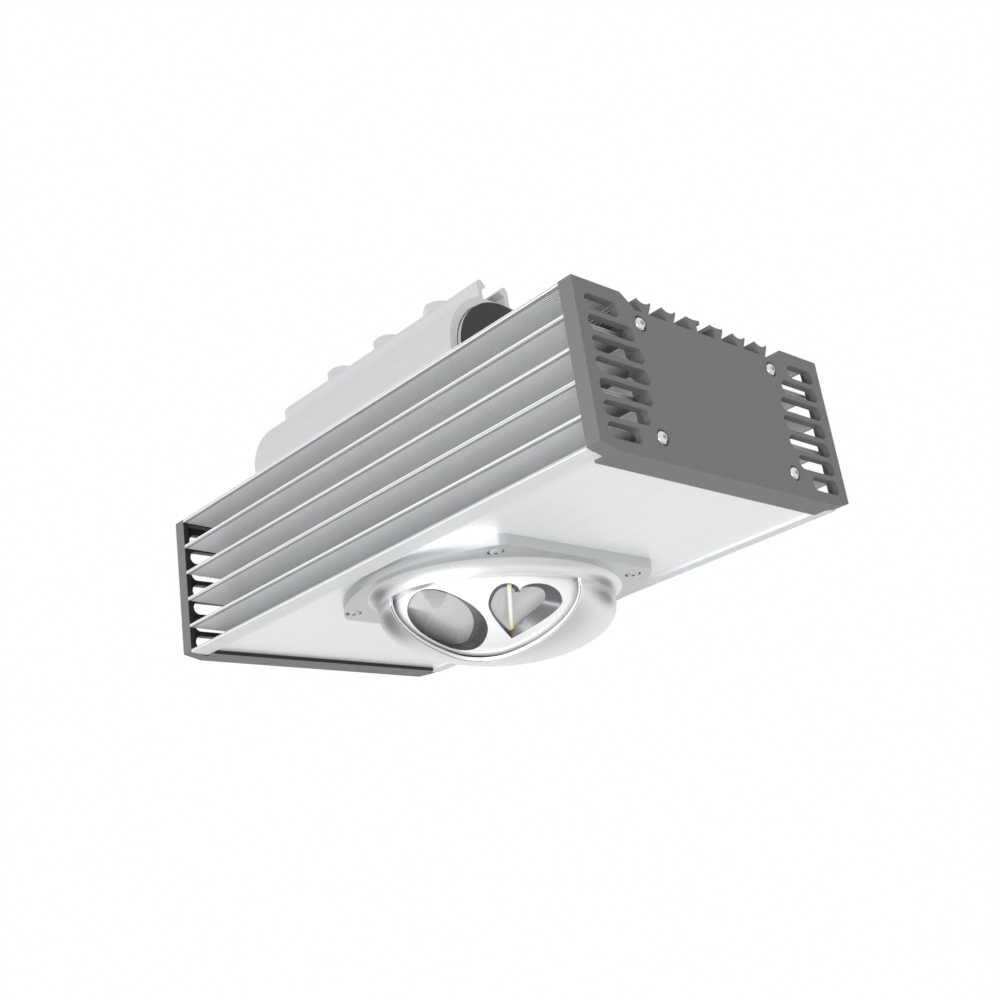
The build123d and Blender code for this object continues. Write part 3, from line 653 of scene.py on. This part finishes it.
def makeCutter(pocket, outline):
    # A prism from outside the glass to the rim, and on to the pocket's floor.
    sink = Vector(pocket["sink"])
    bpy.ops.object.select_all(action="DESELECT")
    bpy.ops.mesh.primitive_circle_add(vertices=pocket["points"], radius=1.0, fill_type="TRIFAN")
    cutter = bpy.context.object
    cutter.name = pocket["name"]
    for vertex in cutter.data.vertices:
        rim = lensPoint(*outline(vertex.co.x, vertex.co.y, pocket))
        vertex.co = rim - sink * lensCore["outside"]
    bpy.ops.object.mode_set(mode="EDIT")
    bpy.ops.mesh.select_all(action="SELECT")
    for step in (lensCore["outside"], lensCore["least"]):
        bpy.ops.mesh.extrude_region_move(TRANSFORM_OT_translate={"value": sink * step})
    bpy.ops.object.mode_set(mode="OBJECT")
    floorFaces = [face for face in cutter.data.polygons if face.select]
    floorNumbers = {number for face in floorFaces for number in face.vertices}
    lowerFloor(pocket, [cutter.data.vertices[number] for number in floorNumbers])
    cutter.data.materials.append(pocketWall)
    cutter.data.materials.append(pocketFloor)
    for face in floorFaces:
        face.material_index = 1
    bpy.ops.object.mode_set(mode="EDIT")
    bpy.ops.mesh.select_all(action="SELECT")
    bpy.ops.mesh.normals_make_consistent(inside=False)
    bpy.ops.object.mode_set(mode="OBJECT")
    return cutter


def lowerFloor(pocket, corners):
    # Sinks the floor to one plane where that lies deeper than it is, and draws it in.
    sink = Vector(pocket["sink"])
    first, second, third = (lensPoint(x, y) + sink * depth for x, y, depth in pocket["floorRim"])
    level = (second - first).cross(third - first).normalized()
    for vertex in corners:
        vertex.co = vertex.co + sink * max((first - vertex.co).dot(level) / sink.dot(level), 0.0)
    centre = sum((vertex.co for vertex in corners), Vector()) / len(corners)
    for vertex in corners:
        vertex.co = centre + (vertex.co - centre) * pocket["draft"]


def carvePocket(lens, pocket, outline):
    # Cuts a pocket with a ringed floor and a wall painted near black, for painted shade round its
    # edge.
    cutter = makeCutter(pocket, outline)
    bpy.ops.object.select_all(action="DESELECT")
    lens.select_set(True)
    bpy.context.view_layer.objects.active = lens
    carve = lens.modifiers.new("carve", "BOOLEAN")
    carve.operation = "DIFFERENCE"
    carve.solver = "EXACT"
    carve.material_mode = "TRANSFER"
    carve.object = cutter
    bpy.ops.object.modifier_apply(modifier="carve")
    bpy.data.objects.remove(cutter)


def selectLevel(lens, height, slack):
    # Selects the vertices at one height.
    bpy.ops.mesh.select_all(action="DESELECT")
    bpy.ops.object.mode_set(mode="OBJECT")
    for vertex in lens.data.vertices:
        vertex.select = abs(vertex.co.z - height) < slack
    bpy.ops.object.mode_set(mode="EDIT")


def makeLens(core):
    # The moulded lens: a dome on an oval wall with a flange, carved by two pockets.
    bpy.ops.object.select_all(action="DESELECT")
    bpy.ops.mesh.primitive_uv_sphere_add(segments=core["segments"], ring_count=core["rings"],
                                         radius=1.0)
    lens = bpy.context.object
    lens.name = "mouldedLens"
    bpy.ops.object.mode_set(mode="EDIT")
    bpy.ops.mesh.select_mode(type="VERT")
    bpy.ops.mesh.select_all(action="SELECT")
    bpy.ops.transform.resize(value=(core["halfAcross"], core["halfLong"], core["drop"]))
    bpy.ops.mesh.bisect(plane_co=(0, 0, core["cutAt"]), plane_no=(0, 0, 1), clear_outer=True)
    selectLevel(lens, 0.0, core["slack"])
    bpy.ops.mesh.extrude_region_move(TRANSFORM_OT_translate={"value": (0, 0, core["wallRise"])})
    bpy.ops.mesh.extrude_region_move()
    bpy.ops.transform.resize(value=(core["flangeGrow"], core["flangeGrow"], 1.0))
    bpy.ops.mesh.extrude_region_move(TRANSFORM_OT_translate={"value": (0, 0, core["flangeRise"])})
    bpy.ops.mesh.edge_face_add()
    bpy.ops.mesh.select_all(action="SELECT")
    bpy.ops.mesh.normals_make_consistent(inside=False)
    bpy.ops.transform.translate(value=(middle.x, middle.y, rimHeight))
    bpy.ops.object.mode_set(mode="OBJECT")
    lens.data.materials.append(lensGloss)
    carvePocket(lens, eyePocket, eyeOutline)
    carvePocket(lens, heartPocket, heartOutline)
    bpy.ops.object.shade_smooth_by_angle(angle=math.radians(core["smoothAngle"]))
    return lens


mouldedLens = makeLens(lensCore)
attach(mouldedLens, "root")
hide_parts("glass_lens")
print("lens made")


lightLine = {
    "top": (509.6, 584.5), "foot": (512.3, 628.0), "radius": 0.0009, "sunk": 0.0002,
    "sides": 20, "edge": 0.35, "smoothAngle": 40,
}


def makeLightLine(look):
    # Painted light: the light source's image as the lens draws it out, a slim unlit line across
    # the heart.
    sink = Vector(heartPocket["sink"])
    top, foot = (lensPoint(*look[key]) + sink * look["sunk"] for key in ("top", "foot"))
    bpy.ops.object.select_all(action="DESELECT")
    bpy.ops.mesh.primitive_cylinder_add(vertices=look["sides"], radius=look["radius"],
                                        depth=(top - foot).length)
    line = bpy.context.object
    line.name = "drawnLightLine"
    bpy.ops.object.mode_set(mode="EDIT")
    bpy.ops.mesh.select_all(action="SELECT")
    bpy.ops.mesh.bevel(offset=look["radius"] * look["edge"], segments=2)
    bpy.ops.object.mode_set(mode="OBJECT")
    turn = (top - foot).to_track_quat("Z", "Y").to_matrix().to_4x4()
    line.matrix_world = Matrix.Translation((top + foot) / 2) @ turn
    bpy.ops.object.transform_apply(location=True, rotation=True, scale=True)
    line.data.materials.append(lightLineGlow)
    bpy.ops.object.shade_smooth_by_angle(angle=math.radians(look["smoothAngle"]))
    return line


drawnLightLine = makeLightLine(lightLine)
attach(drawnLightLine, "root")
print("light line made")


floorLook = {"drop": 0.75, "size": 2.6, "colour": (0.92, 0.92, 0.92), "rough": 0.9}


def addFloor(look):
    bpy.ops.object.select_all(action="DESELECT")
    place = (middle.x, middle.y, middle.z - look["drop"])
    bpy.ops.mesh.primitive_plane_add(size=look["size"], location=place)
    floor = bpy.context.object
    floor.name = "studioFloor"
    bpy.ops.object.transform_apply(location=True, rotation=True, scale=True)
    material, _, shader = newMaterial("pale floor")
    shader.inputs["Base Color"].default_value = (*look["colour"], 1.0)
    shader.inputs["Roughness"].default_value = look["rough"]
    floor.data.materials.append(material)


worldLook = {
    "level": 0.76, "low": (0.95, 0.95, 0.95), "high": (0.8, 0.8, 0.8),
    "darkCards": (  # the way to each dark card, and where it starts and is full
        ((-0.96, -0.08, -0.33), 0.84, 0.97),
        ((0.15, 1.0, 0.1), 0.93, 0.99),
    ),
    "cardLevel": 0.1,
}


def cardShare(tree, direction, cards):
    # 1 where a ray goes to a dark card, 0 elsewhere.
    shares = []
    for card, soft, full in cards:
        facing = tree.nodes.new("ShaderNodeVectorMath")
        facing.operation = "DOT_PRODUCT"
        tree.links.new(direction, facing.inputs[0])
        facing.inputs[1].default_value = Vector(card).normalized()
        edge = tree.nodes.new("ShaderNodeMapRange")
        edge.interpolation_type = "SMOOTHSTEP"
        edge.inputs["From Min"].default_value = soft
        edge.inputs["From Max"].default_value = full
        tree.links.new(facing.outputs["Value"], edge.inputs["Value"])
        shares.append(edge.outputs["Result"])
    return mathNode(tree, "MAXIMUM", *shares)


def addWorld(look):
    # A plain light from all round, and a white backdrop for what is seen, mirrored or seen
    # through glass. The dark cards show in metal and light, but not behind the object.
    world = bpy.data.worlds.new("studioWorld")
    world.use_nodes = True
    tree = world.node_tree
    background = tree.nodes["Background"]
    direction = tree.nodes.new("ShaderNodeTexCoord").outputs["Generated"]
    split = tree.nodes.new("ShaderNodeSeparateXYZ")
    tree.links.new(direction, split.inputs[0])
    ramp = tree.nodes.new("ShaderNodeValToRGB")
    ramp.color_ramp.elements[0].color = (*look["low"], 1.0)
    ramp.color_ramp.elements[1].color = (*look["high"], 1.0)
    height = mathNode(tree, "MULTIPLY_ADD", split.outputs["Z"], 0.5, 0.5)
    tree.links.new(height, ramp.inputs["Fac"])
    tree.links.new(ramp.outputs["Color"], background.inputs["Color"])
    share = cardShare(tree, direction, look["darkCards"])
    level = mathNode(tree, "MULTIPLY_ADD", share, look["cardLevel"] - look["level"], look["level"])
    tree.links.new(level, background.inputs["Strength"])
    path = tree.nodes.new("ShaderNodeLightPath").outputs
    seen = mathNode(tree, "ADD", path["Is Camera Ray"], path["Is Glossy Ray"])
    seen = mathNode(tree, "ADD", seen, path["Is Transmission Ray"])
    seen = mathNode(tree, "MINIMUM", seen, 1.0)
    carded = product(tree, share, mathNode(tree, "SUBTRACT", 1.0, path["Is Camera Ray"]))
    whiteLevel = mathNode(tree, "MULTIPLY_ADD", carded, look["cardLevel"] - 1.0, 1.0)
    backdrop = addNode(tree, "ShaderNodeBackground", Color=(1.0, 1.0, 1.0, 1.0))
    tree.links.new(whiteLevel, backdrop.inputs["Strength"])
    mix = tree.nodes.new("ShaderNodeMixShader")
    tree.links.new(seen, mix.inputs[0])
    tree.links.new(background.outputs[0], mix.inputs[1])
    tree.links.new(backdrop.outputs[0], mix.inputs[2])
    tree.links.new(mix.outputs[0], tree.nodes["World Output"].inputs["Surface"])
    scene.world = world


frontSoftbox = {
    "name": "frontSoftbox", "place": (0.4, -1.2, -0.44), "size": (1.4, 0.5), "power": 11.5,
    "aimRise": 0.03,
}
lowSoftbox = {
    "name": "lowSoftbox", "place": (0.1, -0.12, -0.58), "size": (1.3, 1.3), "power": 0.4,
    "aimRise": 0.03,
}


def addSoftbox(look):
    data = bpy.data.lights.new(look["name"], "AREA")
    data.shape = "RECTANGLE"
    data.size, data.size_y = look["size"]
    data.energy = look["power"]
    light = bpy.data.objects.new(look["name"], data)
    scene.collection.objects.link(light)
    spot = middle + Vector(look["place"])
    aim = (middle + Vector((0.0, 0.0, look["aimRise"])) - spot).to_track_quat("-Z", "Y")
    light.matrix_world = Matrix.Translation(spot) @ aim.to_matrix().to_4x4()


addFloor(floorLook)
addWorld(worldLook)
addSoftbox(frontSoftbox)
addSoftbox(lowSoftbox)
print("studio set")
